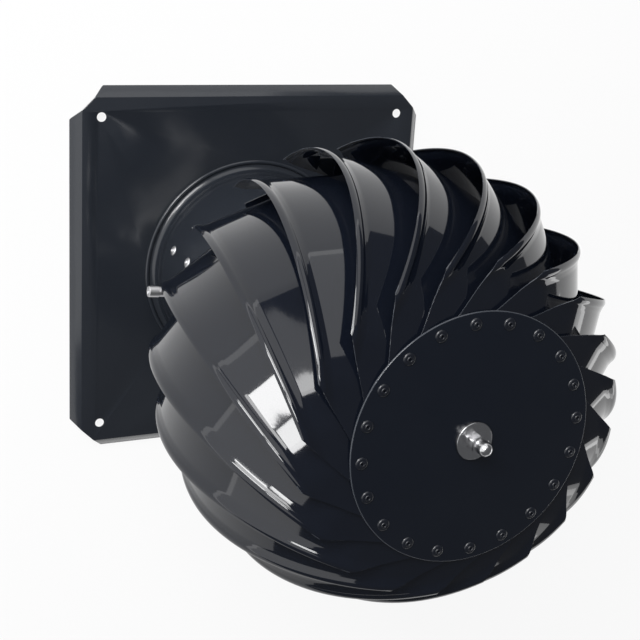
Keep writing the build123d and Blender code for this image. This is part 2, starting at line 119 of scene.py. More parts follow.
def combine(piece, other, operation):
    """Adds an exact Boolean with another piece."""
    cut = piece.modifiers.new("cut", "BOOLEAN")
    cut.object = other
    cut.operation = operation
    cut.solver = "EXACT"


def apply_modifiers(piece):
    """Freezes a piece's modifiers into its mesh."""
    view = bpy.context.evaluated_depsgraph_get()
    mesh = bpy.data.meshes.new_from_object(piece.evaluated_get(view))
    piece.modifiers.clear()
    piece.data = mesh


# %% [markdown]
# A material in Blender is a tree of nodes. An effect that several materials share could be
# copied into each of them, but as a node group it is built once and takes its own values in
# each material. The helpers below make groups and the few nodes that they need.
# %% Helpers for shader nodes
MIX_FACTOR, MIX_FIRST_COLOUR, MIX_SECOND_COLOUR, MIX_COLOUR_RESULT = 0, 6, 7, 2


def feed(tree, value, socket):
    """Links another socket to a socket, or sets a plain number or colour on it."""
    if isinstance(value, bpy.types.NodeSocket):
        tree.links.new(value, socket)
    else:
        socket.default_value = value


def new_group(name, inputs, outputs):
    """Empty shader group with named sockets: (name, kind, default) for each input."""
    group = bpy.data.node_groups.new(name, "ShaderNodeTree")
    for label, kind, value in inputs:
        socket = group.interface.new_socket(label, in_out="INPUT", socket_type=kind)
        if value is not None:
            socket.default_value = value
    for label, kind in outputs:
        group.interface.new_socket(label, in_out="OUTPUT", socket_type=kind)
    entry = group.nodes.new("NodeGroupInput").outputs
    leave = group.nodes.new("NodeGroupOutput").inputs
    return group, entry, leave


def noise(group, place, scale, detail, roughness):
    """Noise from 0 to 1; the scale is in waves per metre."""
    node = group.nodes.new("ShaderNodeTexNoise")
    node.inputs["Scale"].default_value = scale
    node.inputs["Detail"].default_value = detail
    node.inputs["Roughness"].default_value = roughness
    feed(group, place, node.inputs["Vector"])
    return node.outputs["Fac"]


def math_node(group, operation, first, second):
    """Math node between two sockets or numbers."""
    node = group.nodes.new("ShaderNodeMath")
    node.operation = operation
    feed(group, first, node.inputs[0])
    feed(group, second, node.inputs[1])
    return node.outputs[0]


def ramp(group, factor, low, high, first, last):
    """Map Range from one span to another, clamped."""
    node = group.nodes.new("ShaderNodeMapRange")
    spans = {"From Min": low, "From Max": high, "To Min": first, "To Max": last, "Value": factor}
    for label, value in spans.items():
        feed(group, value, node.inputs[label])
    return node.outputs["Result"]


def mix_colour(group, factor, first, second):
    """Mixes two colours by a factor, each a socket."""
    node = group.nodes.new("ShaderNodeMix")
    node.data_type = "RGBA"
    feed(group, factor, node.inputs[MIX_FACTOR])
    feed(group, first, node.inputs[MIX_FIRST_COLOUR])
    feed(group, second, node.inputs[MIX_SECOND_COLOUR])
    return node.outputs[MIX_COLOUR_RESULT]


# %% [markdown]
# Real gloss paint isn't a mirror: it has a fine orange peel, slow waves where the sheet was
# rolled and a little dust that dulls it in patches. Along the cut edges the colour is also made
# paler, a painted highlight for the light that the thin edges catch. It could be one dark
# colour, but then every blade would look like plastic. The group gives each painted piece its
# own amount of all four.
# %% Node group for the paint's skin
SKIN_OUTPUTS = [
    ("Colour", "NodeSocketColor"), ("Roughness", "NodeSocketFloat"), ("Height", "NodeSocketFloat"),
]
PATCHES_PER_METRE, SPECKS_PER_METRE = 14.0, 900.0
WAVES_PER_METRE, PEEL_PER_METRE = 22.0, 520.0
PEEL_HEIGHT, DUST_ROUGHNESS = 0.009, 0.9


def build_paint_skin():
    """Colour, roughness and height of gloss paint on rolled sheet."""
    group, entry, leave = new_group("paint_skin", [
        ("Place", "NodeSocketVector", None),
        ("Paint", "NodeSocketColor", (0.02, 0.025, 0.032, 1)),
        ("Dust colour", "NodeSocketColor", (0.2, 0.21, 0.22, 1)),
        ("Dust", "NodeSocketFloat", 0.03),
        ("Gloss", "NodeSocketFloat", 0.09),
        ("Waves", "NodeSocketFloat", 1.0),
        ("Peel", "NodeSocketFloat", 1.0),
        ("Cut edge highlight", "NodeSocketFloat", 0.0),
        ("Edge highlight colour", "NodeSocketColor", (0.045, 0.05, 0.06, 1)),
    ], SKIN_OUTPUTS)
    place = entry["Place"]
    patches = noise(group, place, PATCHES_PER_METRE, detail=4.0, roughness=0.6)
    specks = noise(group, place, SPECKS_PER_METRE, detail=2.0, roughness=0.5)
    patch = ramp(group, patches, low=0.42, high=0.75, first=0.25, last=1.0)
    speckle = ramp(group, specks, low=0.62, high=0.75, first=0.0, last=1.0)
    dust = math_node(group, "MULTIPLY", entry["Dust"], math_node(group, "ADD", patch, speckle))
    painted = mix_colour(group, dust, entry["Paint"], entry["Dust colour"])
    # Faces along cut edges are mixed towards a paler colour: a painted highlight.
    coloured = mix_colour(group, entry["Cut edge highlight"], painted, entry["Edge highlight colour"])
    feed(group, coloured, leave["Colour"])
    dulled = math_node(group, "MULTIPLY", dust, DUST_ROUGHNESS)
    feed(group, math_node(group, "ADD", entry["Gloss"], dulled), leave["Roughness"])
    waves = noise(group, place, WAVES_PER_METRE, detail=1.0, roughness=0.4)
    peel = noise(group, place, PEEL_PER_METRE, detail=1.0, roughness=0.4)
    wave = math_node(group, "MULTIPLY", waves, entry["Waves"])
    peeled = math_node(group, "MULTIPLY", peel, entry["Peel"])
    fine = math_node(group, "MULTIPLY", peeled, PEEL_HEIGHT)
    feed(group, math_node(group, "ADD", wave, fine), leave["Height"])
    return group


paint_skin = build_paint_skin()
print("paint skin group with", len(paint_skin.nodes), "nodes")
# %% [markdown]
# The paint is a very dark blue-grey under a smooth skin, so nearly all that is seen of it is
# what it mirrors. The group gives its colour, roughness and height, which change over the
# surface. The refraction index is the same all over, so it sits on the shader's own socket.
# %% Gloss paint
PAINT_IOR = 1.55


def skinned_material(name, group, depth, values):
    """Material whose colour, roughness and bump, of a depth in millimetres, come from a group."""
    material = bpy.data.materials.new(name)
    material.use_nodes = True
    tree = material.node_tree
    shader = tree.nodes["Principled BSDF"]
    skin = tree.nodes.new("ShaderNodeGroup")
    skin.node_tree = group
    feed(tree, tree.nodes.new("ShaderNodeTexCoord").outputs["Object"], skin.inputs["Place"])
    for label, value in values.items():
        feed(tree, value, skin.inputs[label])
    relief = tree.nodes.new("ShaderNodeBump")
    relief.inputs["Distance"].default_value = depth * MM
    relief.inputs["Strength"].default_value = 1.0
    feed(tree, skin.outputs["Height"], relief.inputs["Height"])
    feed(tree, skin.outputs["Colour"], shader.inputs["Base Color"])
    feed(tree, skin.outputs["Roughness"], shader.inputs["Roughness"])
    feed(tree, relief.outputs["Normal"], shader.inputs["Normal"])
    return material, shader, skin


def gloss_paint(name, paint, dust, gloss, waves, depth):
    """Dark gloss paint with its own dust, gloss and waviness."""
    values = {"Paint": paint, "Dust": dust, "Gloss": gloss, "Waves": waves}
    material, shader, skin = skinned_material(name, paint_skin, depth, values)
    # The marked faces along cut edges get a paler colour, a painted highlight.
    edge = material.node_tree.nodes.new("ShaderNodeAttribute")
    edge.attribute_name = "cut_edge_highlight"
    feed(material.node_tree, edge.outputs["Fac"], skin.inputs["Cut edge highlight"])
    shader.inputs["IOR"].default_value = PAINT_IOR
    return material


blade_paint = gloss_paint(
    "blade_paint", (0.004, 0.0055, 0.010, 1), dust=0.006, gloss=0.05, waves=1.0, depth=0.35,
)
plate_paint = gloss_paint(
    "plate_paint", (0.016, 0.019, 0.025, 1), dust=0.02, gloss=0.17, waves=1.0, depth=0.8,
)
disc_paint = gloss_paint(
    "disc_paint", (0.0034, 0.0053, 0.0102, 1), dust=0.008, gloss=0.1, waves=1.0, depth=0.4,
)
rivet_paint = gloss_paint(
    "rivet_paint", (0.005, 0.0065, 0.011, 1), dust=0.01, gloss=0.3, waves=0.0, depth=0.1,
)
print("paints", [paint.name for paint in (blade_paint, plate_paint, disc_paint, rivet_paint)])
# %% [markdown]
# The fastenings are bright zinc-plated or stainless steel. Turned faces have fine rings round
# their axis, and handling leaves faint stains. A plain metallic colour would look like chrome,
# so a second group mixes rings and stains into a colour, a roughness and a height.
# %% Node group for bright metal
STAINS_PER_METRE, STAIN_ROUGHNESS = 90.0, 0.25
RINGS_PER_METRE = (40, 40, 4000)


def build_metal_skin():
    """Colour, roughness and height of plated or turned steel."""
    group, entry, leave = new_group("metal_skin", [
        ("Place", "NodeSocketVector", None),
        ("Metal", "NodeSocketColor", (0.7, 0.7, 0.71, 1)),
        ("Tarnish", "NodeSocketColor", (0.42, 0.42, 0.43, 1)),
        ("Gloss", "NodeSocketFloat", 0.15),
        ("Stain", "NodeSocketFloat", 0.35),
        ("Grain", "NodeSocketFloat", 1.0),
    ], SKIN_OUTPUTS)
    clouds = noise(group, entry["Place"], STAINS_PER_METRE, detail=4.0, roughness=0.6)
    cloud = ramp(group, clouds, low=0.35, high=0.7, first=0.0, last=1.0)
    stain = math_node(group, "MULTIPLY", cloud, entry["Stain"])
    feed(group, mix_colour(group, stain, entry["Metal"], entry["Tarnish"]), leave["Colour"])
    dulled = math_node(group, "MULTIPLY", stain, STAIN_ROUGHNESS)
    feed(group, math_node(group, "ADD", entry["Gloss"], dulled), leave["Roughness"])
    stretched = group.nodes.new("ShaderNodeMapping")
    stretched.inputs["Scale"].default_value = RINGS_PER_METRE
    feed(group, entry["Place"], stretched.inputs["Vector"])
    rings = noise(group, stretched.outputs["Vector"], 1.0, detail=2.0, roughness=0.6)
    feed(group, math_node(group, "MULTIPLY", rings, entry["Grain"]), leave["Height"])
    return group


metal_skin = build_metal_skin()
print("metal skin group with", len(metal_skin.nodes), "nodes")


# %% Bright metals
def bright_metal(name, metal, gloss, stain, grain, depth):
    """Steel with its own gloss, stains and turning marks."""
    values = {"Metal": metal, "Gloss": gloss, "Stain": stain, "Grain": grain}
    material, shader, _ = skinned_material(name, metal_skin, depth, values)
    shader.inputs["Metallic"].default_value = 1.0
    return material


bright_steel = bright_metal(
    "bright_steel", (0.74, 0.74, 0.75, 1), gloss=0.16, stain=0.3, grain=1.0, depth=0.004,
)
nut_steel = bright_metal(
    "nut_steel", (0.6, 0.6, 0.61, 1), gloss=0.2, stain=0.3, grain=0.6, depth=0.003,
)
zinc_steel = bright_metal(
    "zinc_steel", (0.66, 0.66, 0.67, 1), gloss=0.38, stain=0.4, grain=1.0, depth=0.006,
)
turned_steel = bright_metal(
    "turned_steel", (0.46, 0.46, 0.47, 1), gloss=0.3, stain=0.5, grain=1.0, depth=0.01,
)
bearing_steel = bright_metal(
    "bearing_steel", (0.55, 0.55, 0.56, 1), gloss=0.22, stain=0.4, grain=1.0, depth=0.006,
)
print("materials", [m.name for m in bpy.data.materials])
# %% [markdown]
# The blades make the object. Each is a flat strip of sheet with a bent flange along its free
# edge, rolled upwards and downwards about two axes and tilted a little, with a flat shoulder
# that runs under the disc. It could be carved from a globe, but a grid that follows the same
# roll as the real tool gives even faces and clean reflections. The edge of the flange has a
# low rounded hem here, because the photograph shows its highlight.
# %% Sizes of a blade, in millimetres
FOOT_LEVEL, ROLL_LEVEL, DISC_UNDER = 160.8, 249.2, 369.96
ROLL_TILT = radians(-7.1)
ROLL_REACH, WEB_RADIUS, LOWER_ROLL_RADIUS = 129.4, 135.223, 171.05
UPPER_CENTRE, ROLL_END_REACH, ROLL_END_HEIGHT = -8.0, 46.55, 123.73
UPPER_TURN, LOWER_TURN = 1.1556, radians(40.0)
STRIP_EDGE, STRIP_WIDTH = 79.9, 62.6
FLANGE_RUN, FLANGE_RISE = 8.733, 2.177
FOLD_ROUND = 1.2
HEM_WIDTH, HEM_CLIMB, HEM_FALL = 5.0, radians(32.0), radians(34.0)
BLADE_SHEET = 0.6
SHOULDER_SLOPE, SHOULDER_RUN = radians(10.0), 66.0
DISC_RADIUS, SHOULDER_END_RADIUS = 78.75, 74.5
EDGE_LEAD = radians(80.9)
TONGUE_LEAD = radians(73.298)
TONGUE_INNER_RADIUS, TONGUE_WIDTH = 64.0, 15.0
BLADE_COUNT, FIRST_BLADE, BLADE_STEP = 20, radians(147.4), radians(-18.0)
print("blades from", FOOT_LEVEL, "to", DISC_UNDER, "mm")


# %% The strip's section
FLAT_STEPS, FOLD_STEPS, FLANGE_STEPS, HEM_STEPS = 8, 8, 2, 12


def evenly(start, width, steps):
    """Ends of equal steps over a width, without its start."""
    return [start + width * i / steps for i in range(1, steps + 1)]


def section_points():
    """Distances across the strip with the rise of the flange and its hem there."""
    crease = STRIP_EDGE - FLANGE_RUN
    slope = FLANGE_RISE / FLANGE_RUN
    start = STRIP_EDGE - STRIP_WIDTH
    stations = [start] + evenly(start, crease - FOLD_ROUND - start, FLAT_STEPS)
    stations += evenly(crease - FOLD_ROUND, 2 * FOLD_ROUND, FOLD_STEPS)
    stations += evenly(crease + FOLD_ROUND, FLANGE_RUN - HEM_WIDTH - FOLD_ROUND, FLANGE_STEPS)
    points = []
    for across in stations:
        past = across - crease
        if past <= -FOLD_ROUND:
            rise = 0.0
        elif past >= FOLD_ROUND:
            rise = slope * past
        else:
            rise = slope * (past + FOLD_ROUND) ** 2 / (4 * FOLD_ROUND)
        points.append((across, rise))
    hem_rise = slope * (FLANGE_RUN - HEM_WIDTH)
    radius = HEM_WIDTH / (sin(HEM_CLIMB) + sin(HEM_FALL))
    for lean in evenly(HEM_CLIMB, -(HEM_CLIMB + HEM_FALL), HEM_STEPS):
        across = STRIP_EDGE - HEM_WIDTH + radius * (sin(HEM_CLIMB) - sin(lean))
        points.append((across, hem_rise + radius * (cos(lean) - cos(HEM_CLIMB))))
    return points


print(len(section_points()), "points across the strip")


# %% The strip's path
LOWER_STEPS, UPPER_STEPS, SHOULDER_STEPS = 24, 30, 12


def path_points():
    """Stations along the roll: outside line of the web and its outward direction."""
    stations = []
    lower_radius = LOWER_ROLL_RADIUS - FLANGE_RISE
    for i in range(LOWER_STEPS, 0, -1):
        turn = LOWER_TURN * i / LOWER_STEPS
        x = ROLL_REACH - LOWER_ROLL_RADIUS + lower_radius * cos(turn)
        stations.append((x, -lower_radius * sin(turn), cos(turn), -sin(turn)))
    for i in range(UPPER_STEPS):
        turn = UPPER_TURN * i / UPPER_STEPS
        x = UPPER_CENTRE + WEB_RADIUS * cos(turn)
        stations.append((x, WEB_RADIUS * sin(turn), cos(turn), sin(turn)))
    half = (pi / 2 - SHOULDER_SLOPE - UPPER_TURN) / 2
    mitre = 1 / cos(half)
    middle = UPPER_TURN + half
    stations.append((ROLL_END_REACH, ROLL_END_HEIGHT, mitre * cos(middle), mitre * sin(middle)))
    level, climb = cos(SHOULDER_SLOPE), sin(SHOULDER_SLOPE)
    for run in evenly(0.0, SHOULDER_RUN, SHOULDER_STEPS):
        stations.append((ROLL_END_REACH - run * level, ROLL_END_HEIGHT + run * climb, climb, level))
    return stations


print(len(path_points()), "stations along the roll")


# %% One blade as a sheet of faces
def trim(work, point, normal, clear=True):
    """Cuts the sheet at a plane and may clear the side that the normal points to."""
    geometry = work.verts[:] + work.edges[:] + work.faces[:]
    bmesh.ops.bisect_plane(
        work, geom=geometry, dist=1e-7, plane_co=Vector(point) * MM, plane_no=normal,
        clear_outer=clear,
    )


def trim_from_flange_to_disc(work):
    """Cuts the shoulder along a line from the flange's upper end to the disc's edge."""
    end_radius = UPPER_CENTRE + (WEB_RADIUS + FLANGE_RISE) * cos(UPPER_TURN)
    end_height = (WEB_RADIUS + FLANGE_RISE) * sin(UPPER_TURN)
    end_y = STRIP_EDGE * cos(ROLL_TILT) - end_height * sin(ROLL_TILT)
    run_x = DISC_RADIUS * cos(EDGE_LEAD) - end_radius
    run_y = DISC_RADIUS * sin(EDGE_LEAD) - end_y
    trim(work, (end_radius, end_y, 0), (run_y, -run_x, 0))


def blade_surface():
    """Outside face of one blade, facing +X, trimmed as the sheet is cut."""
    work = bmesh.new()
    tilt = Matrix.Translation((0, 0, ROLL_LEVEL * MM)) @ Matrix.Rotation(ROLL_TILT, 4, "X")
    columns = section_points()
    grid = []
    for x, z, nx, nz in path_points():
        row = []
        for across, rise in columns:
            point = Vector((x + rise * nx, across, z + rise * nz)) * MM
            row.append(work.verts.new(tilt @ point))
        grid.append(row)
    for low, high in zip(grid, grid[1:]):
        for i in range(len(columns) - 1):
            work.faces.new((low[i], low[i + 1], high[i + 1], high[i]))
    trim(work, (0, 0, FOOT_LEVEL), (0, 0, -1))
    trim_from_flange_to_disc(work)
    trim(work, (0, 0, DISC_UNDER), (0, 0, 1), clear=False)
    for vertex in work.verts:
        vertex.co.z = min(vertex.co.z, DISC_UNDER * MM)
    return work


# %% [markdown]
# The sheet has no thickness yet. Its wall could be built face by face, but a Solidify modifier
# gives an even one, and a Boolean then cuts the tongue that reaches under the disc. The tab at
# the foot isn't seen in the photograph. Something has to hold the blade to the lower ring, so
# it is taken to be bent inwards there, and is added as a flat block.
# %% Tongue and foot tab
CUTTER_STEPS, CUTTER_LOW, CUTTER_HIGH = 96, 300.0, 400.0
TAB_INNER, TAB_OUTER, TAB_FROM, TAB_WIDTH, TAB_CORNER = 94.5, 110.6, 8.0, 20.0, 2.0


def tongue_cutter():
    """Upright block that fills the disc's circle except where the tongue lies."""
    half = asin(TONGUE_WIDTH / 2 / SHOULDER_END_RADIUS)
    outline = []
    for i in range(CUTTER_STEPS + 1):
        turn = TONGUE_LEAD + half + (2 * pi - 2 * half) * i / CUTTER_STEPS
        outline.append((SHOULDER_END_RADIUS * cos(turn), SHOULDER_END_RADIUS * sin(turn)))
    along = Vector((cos(TONGUE_LEAD), sin(TONGUE_LEAD)))
    for side in (-1, 1):
        off = Vector((-along.y, along.x)) * side * TONGUE_WIDTH / 2
        outline.append(tuple(along * TONGUE_INNER_RADIUS + off))
    work = bmesh.new()
    add_prism(work, outline, CUTTER_LOW, CUTTER_HIGH)
    bmesh.ops.recalc_face_normals(work, faces=work.faces)
    return piece_from("tongue_cutter", work)


def add_foot_tab(work):
    """Adds the tab that is bent inwards at the blade's foot."""
    near, far = TAB_FROM, TAB_FROM + TAB_WIDTH
    corners = [
        (TAB_INNER, near + TAB_CORNER), (TAB_INNER + TAB_CORNER, near), (TAB_OUTER, near),
        (TAB_OUTER, far), (TAB_INNER + TAB_CORNER, far), (TAB_INNER, far - TAB_CORNER),
    ]
    add_prism(work, corners, FOOT_LEVEL, FOOT_LEVEL + BLADE_SHEET)


# %% Cut edges and the finished master blade
CUT_EDGE_ANGLE, CUT_EDGE_WIDEST, CUT_EDGE_ROUND = 50, 0.72, 0.12
BLADE_SMOOTH_ANGLE = 25


def mark_cut_edge_highlights(work):
    """Marks the narrow faces between two sharp edges, where the sheet was cut, for a painted
    highlight.
    """
    mark = work.faces.layers.float.new("cut_edge_highlight")
    count = 0
    for face in work.faces:
        inner_edges = [edge for edge in face.edges if len(edge.link_faces) == 2]
        sharp = [e for e in inner_edges if e.calc_face_angle(0) > radians(CUT_EDGE_ANGLE)]
        longest = max(edge.calc_length() for edge in face.edges)
        if len(sharp) >= 2 and face.calc_area() / longest < CUT_EDGE_WIDEST * MM:
            face[mark] = 1.0
            count += 1
    print("cut edges marked on", count, "faces")


def master_blade():
    """One finished blade, facing +X, with its cut edges marked."""
    blade = piece_from("blade_master", blade_surface())
    thick = blade.modifiers.new("sheet", "SOLIDIFY")
    thick.thickness = BLADE_SHEET * MM
    thick.offset = -1.0
    thick.use_even_offset = True
    cutter = tongue_cutter()
    combine(blade, cutter, "DIFFERENCE")
    apply_modifiers(blade)
    bpy.data.objects.remove(cutter)
    work = bmesh.new()
    work.from_mesh(blade.data)
    add_foot_tab(work)
    bmesh.ops.recalc_face_normals(work, faces=work.faces)
    mark_cut_edge_highlights(work)
    work.to_mesh(blade.data)
    work.free()
    round_edges(blade, CUT_EDGE_ROUND, 1, CUT_EDGE_ANGLE)
    apply_modifiers(blade)
    smooth_by_angle(blade.data, BLADE_SMOOTH_ANGLE)
    return blade


blade = master_blade()
print("master blade faces", len(blade.data.polygons))
# %% [markdown]
# Blades and rivets repeat round the axle. A loop could copy them, but a Geometry Nodes tree
# places copies of a master piece by turning it step by step, so that the count, the first
# direction and the step stay open to change. It ends in real faces with a material, and
# becomes one plain mesh for the body that carries it.
# %% Geometry Nodes tree that repeats a piece round the axle
def build_ring_tree():
    """Tree with named inputs: the piece, its count, first turn, step and material."""
    tree = bpy.data.node_groups.new("round_the_axle", "GeometryNodeTree")
    for label, kind in (
        ("Geometry", "NodeSocketGeometry"), ("Piece", "NodeSocketObject"),
        ("Count", "NodeSocketInt"), ("First turn", "NodeSocketFloat"),
        ("Step", "NodeSocketFloat"), ("Material", "NodeSocketMaterial"),
    ):
        tree.interface.new_socket(label, in_out="INPUT", socket_type=kind)
    tree.interface.new_socket("Geometry", in_out="OUTPUT", socket_type="NodeSocketGeometry")
    entry, leave = tree.nodes.new("NodeGroupInput"), tree.nodes.new("NodeGroupOutput")
    points = tree.nodes.new("GeometryNodePoints")
    index = tree.nodes.new("GeometryNodeInputIndex")
    turn = tree.nodes.new("ShaderNodeMath")
    turn.operation = "MULTIPLY_ADD"
    spin = tree.nodes.new("ShaderNodeCombineXYZ")
    source = tree.nodes.new("GeometryNodeObjectInfo")
    source.transform_space = "ORIGINAL"
    place = tree.nodes.new("GeometryNodeInstanceOnPoints")
    real = tree.nodes.new("GeometryNodeRealizeInstances")
    colour = tree.nodes.new("GeometryNodeSetMaterial")
    for start, end in (
        (entry.outputs["Count"], points.inputs["Count"]),
        (index.outputs["Index"], turn.inputs[0]),
        (entry.outputs["Step"], turn.inputs[1]),
        (entry.outputs["First turn"], turn.inputs[2]),
        (turn.outputs[0], spin.inputs["Z"]),
        (entry.outputs["Piece"], source.inputs["Object"]),
        (points.outputs["Points"], place.inputs["Points"]),
        (source.outputs["Geometry"], place.inputs["Instance"]),
        (spin.outputs["Vector"], place.inputs["Rotation"]),
        (place.outputs["Instances"], real.inputs["Geometry"]),
        (real.outputs["Geometry"], colour.inputs["Geometry"]),
        (entry.outputs["Material"], colour.inputs["Material"]),
        (colour.outputs["Geometry"], leave.inputs["Geometry"]),
    ):
        tree.links.new(start, end)
    return tree


ring_tree = build_ring_tree()
print("ring tree with", len(ring_tree.nodes), "nodes")


# %% Repeat round the axle
def repeat_round(name, master, material, angle):
    """Plain mesh with the master once for each blade; the master is removed."""
    piece = bpy.data.objects.new(name, bpy.data.meshes.new(name))
    bpy.context.scene.collection.objects.link(piece)
    nodes = piece.modifiers.new("repeat", "NODES")
    nodes.node_group = ring_tree
    values = {
        "Piece": master, "Count": BLADE_COUNT, "First turn": FIRST_BLADE, "Step": BLADE_STEP,
        "Material": material,
    }
    for socket in ring_tree.interface.items_tree:
        if socket.in_out == "INPUT" and socket.name in values:
            nodes[socket.identifier] = values[socket.name]
    apply_modifiers(piece)
    bpy.data.objects.remove(master)
    smooth_by_angle(piece.data, angle)
    print(name, BLADE_COUNT, "copies,", len(piece.data.polygons), "faces")
    return piece


# %% All blades
blade_names = [f"blade_{n + 1:02d}" for n in range(BLADE_COUNT)]
blades = repeat_round("blades", blade, blade_paint, BLADE_SMOOTH_ANGLE)
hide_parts(*blade_names)
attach(blades, "rotor")
# %% [markdown]
# Each blade is held by a blind rivet through the disc and another through the lower ring. A
# blind rivet has a round flange, a raised ring and a dark hollow where its pin broke off. A
# half ball would do from far away, but the hollow shows, so one is turned from an outline, and
# the same tree sets twenty of them round the disc.
# %% One blind rivet
def blind_rivet_outline():
    """Outline from the hollow's floor over the ring and the groove to the flange and shank."""
    outline = [(0.0, -1.5), (0.85, -1.5), (0.88, 1.3), (1.05, 1.52), (1.35, 1.62), (1.68, 1.5)]
    outline += [(1.88, 1.2), (1.96, 0.92), (2.15, 0.9), (2.6, 1.02), (3.1, 0.9)]
    outline += [(3.55, 0.6), (3.8, 0.32), (3.9, 0.12), (3.85, 0.0)]
    outline += [(1.98, 0.0), (1.98, -3.8), (0.0, -3.8)]
    return outline


RIVET_SEGMENTS, RIVET_ANGLE = 32, 40


def rivet_at(name, x, y, level):
    """Master rivet with its head's seat at a level."""
    work = turned(blind_rivet_outline(), RIVET_SEGMENTS, solid=True)
    bmesh.ops.translate(work, verts=work.verts, vec=(x * MM, y * MM, level * MM))
    return piece_from(name, work, RIVET_ANGLE)


# %% Rivets of the disc and of the lower ring
TOP_RIVET_RADIUS, DISC_TOP = 71.6, 371.16
FOOT_RIVET = (99.0, 18.0)
top_rivet = TOP_RIVET_RADIUS * cos(TONGUE_LEAD), TOP_RIVET_RADIUS * sin(TONGUE_LEAD)
top_master = rivet_at("top_rivet_master", *top_rivet, DISC_TOP)
disc_rivets = repeat_round("disc_rivets", top_master, rivet_paint, RIVET_ANGLE)
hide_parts("top_rivets")
foot_master = rivet_at("foot_rivet_master", *FOOT_RIVET, FOOT_LEVEL + BLADE_SHEET)
ring_rivets = repeat_round("ring_rivets", foot_master, rivet_paint, RIVET_ANGLE)
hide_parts("lower_rivets")
for piece in (disc_rivets, ring_rivets):
    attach(piece, "rotor")
# %% [markdown]
# The disc that closes the globe is cut from flat sheet and painted with the blades. A flat
# cylinder would have a knife edge, so it is turned with a rim that the paint has rounded. The
# rim's faces also get a paler colour, a painted highlight, and together they show as a thin
# pale line.
# %% Top disc
STUD_HOLE_RADIUS = 3.1
DISC_RIM, DISC_SEGMENTS = 0.5, 144


def dress(piece, material, node, body):
    """Gives a piece its material, hides the CAD node it stands for and hangs it on its body."""
    piece.data.materials.clear()
    piece.data.materials.append(material)
    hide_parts(node)
    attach(piece, body)
    print(piece.name, len(piece.data.polygons), "faces")


disc_outline = [(STUD_HOLE_RADIUS, DISC_UNDER), (DISC_RADIUS - 0.4, DISC_UNDER)]
disc_outline += [(DISC_RADIUS, DISC_UNDER + 0.3)]
disc_outline += arc(DISC_RADIUS - DISC_RIM, DISC_TOP - DISC_RIM, DISC_RIM, 0, 90, 5)
disc_outline += [(STUD_HOLE_RADIUS, DISC_TOP)]
disc = turned(disc_outline, DISC_SEGMENTS)
# The rim's faces are marked for the paler colour, a painted highlight.
mark = disc.faces.layers.float.new("cut_edge_highlight")
for face in disc.faces:
    on_rim = face.calc_center_median().xy.length > (DISC_RADIUS - DISC_RIM) * MM
    face[mark] = 1.0 if on_rim else 0.0
dress(piece_from("disc_sheet", disc), disc_paint, "top_disc", "rotor")
# %% [markdown]
# The disc is held by a bright washer and a domed cap nut. The washer is turned, a little wider
# and thicker than the CAD's, as the photograph shows it.
# %% Washer
WASHER_THICK, WASHER_RADIUS, WASHER_RIM, WASHER_SEGMENTS = 2.4, 11.75, 0.4, 96
NUT_FOOT = DISC_TOP + WASHER_THICK
washer_outline = [(STUD_HOLE_RADIUS, DISC_TOP), (WASHER_RADIUS - 0.3, DISC_TOP)]
washer_outline += [(WASHER_RADIUS, DISC_TOP + 0.3)]
washer_outline += arc(WASHER_RADIUS - WASHER_RIM, NUT_FOOT - WASHER_RIM, WASHER_RIM, 0, 90, 4)
washer_outline += [(STUD_HOLE_RADIUS, NUT_FOOT)]
washer = piece_from("washer", turned(washer_outline, WASHER_SEGMENTS))
dress(washer, nut_steel, "top_washer", "rotor")
# %% [markdown]
# A cap nut is a six-sided bar whose corners were turned down, with a dome on top. The bar could
# be bevelled all round, but the real corners end in curves, which only a Boolean with a turned
# shape gives. The dome is turned apart and added, because the two meet in a groove.
# %% Six-sided bar
HEX_EDGE_ROUND, HEX_EDGE_ANGLE = 0.3, 40
LATHE_CLEARANCE, LATHE_SEGMENTS = 0.1, 96


def hex_bar(across, low, high, chamfer):
    """Six-sided bar in millimetres whose corners are turned down at both ends."""
    corner = across / sqrt(3)
    turns = [pi / 6 + pi / 3 * side for side in range(6)]
    bar_work = bmesh.new()
    add_prism(bar_work, [(corner * cos(t), corner * sin(t)) for t in turns], low, high)
    bar = piece_from("hex_bar", bar_work)
    clear = corner + LATHE_CLEARANCE
    lathe = [(0.0, low), (across / 2, low), (clear, low + chamfer)]
    lathe += [(clear, high - chamfer), (across / 2, high), (0.0, high)]
    cutter = piece_from("hex_lathe", turned(lathe, LATHE_SEGMENTS, solid=True))
    combine(bar, cutter, "INTERSECT")
    round_edges(bar, HEX_EDGE_ROUND, 2, HEX_EDGE_ANGLE)
    apply_modifiers(bar)
    result = bmesh.new()
    result.from_mesh(bar.data)
    bpy.data.objects.remove(cutter)
    bpy.data.objects.remove(bar)
    return result


# %% Cap nut
NUT_TOP = DISC_TOP + 18.1
HEX_ACROSS, HEX_HEIGHT, HEX_CHAMFER = 10.0, 7.0, 0.5
DOME_RADIUS, DOME_NECK_RADIUS, DOME_SEGMENTS = 4.5, 4.15, 64
hex_top = NUT_FOOT + HEX_HEIGHT
dome_outline = [(0.0, NUT_FOOT + 0.5), (DOME_NECK_RADIUS, NUT_FOOT + 0.5)]
dome_outline += [(DOME_NECK_RADIUS, hex_top + 0.7), (DOME_RADIUS, hex_top + 1.2)]
dome_outline += arc(0.0, NUT_TOP - DOME_RADIUS, DOME_RADIUS, 0, 80, 12)
dome_outline += [(0.0, NUT_TOP)]
nut = hex_bar(HEX_ACROSS, NUT_FOOT, hex_top, HEX_CHAMFER)
merge_into(nut, turned(dome_outline, DOME_SEGMENTS, solid=True))
dress(piece_from("cap_nut_domed", nut), nut_steel, "cap_nut", "rotor")
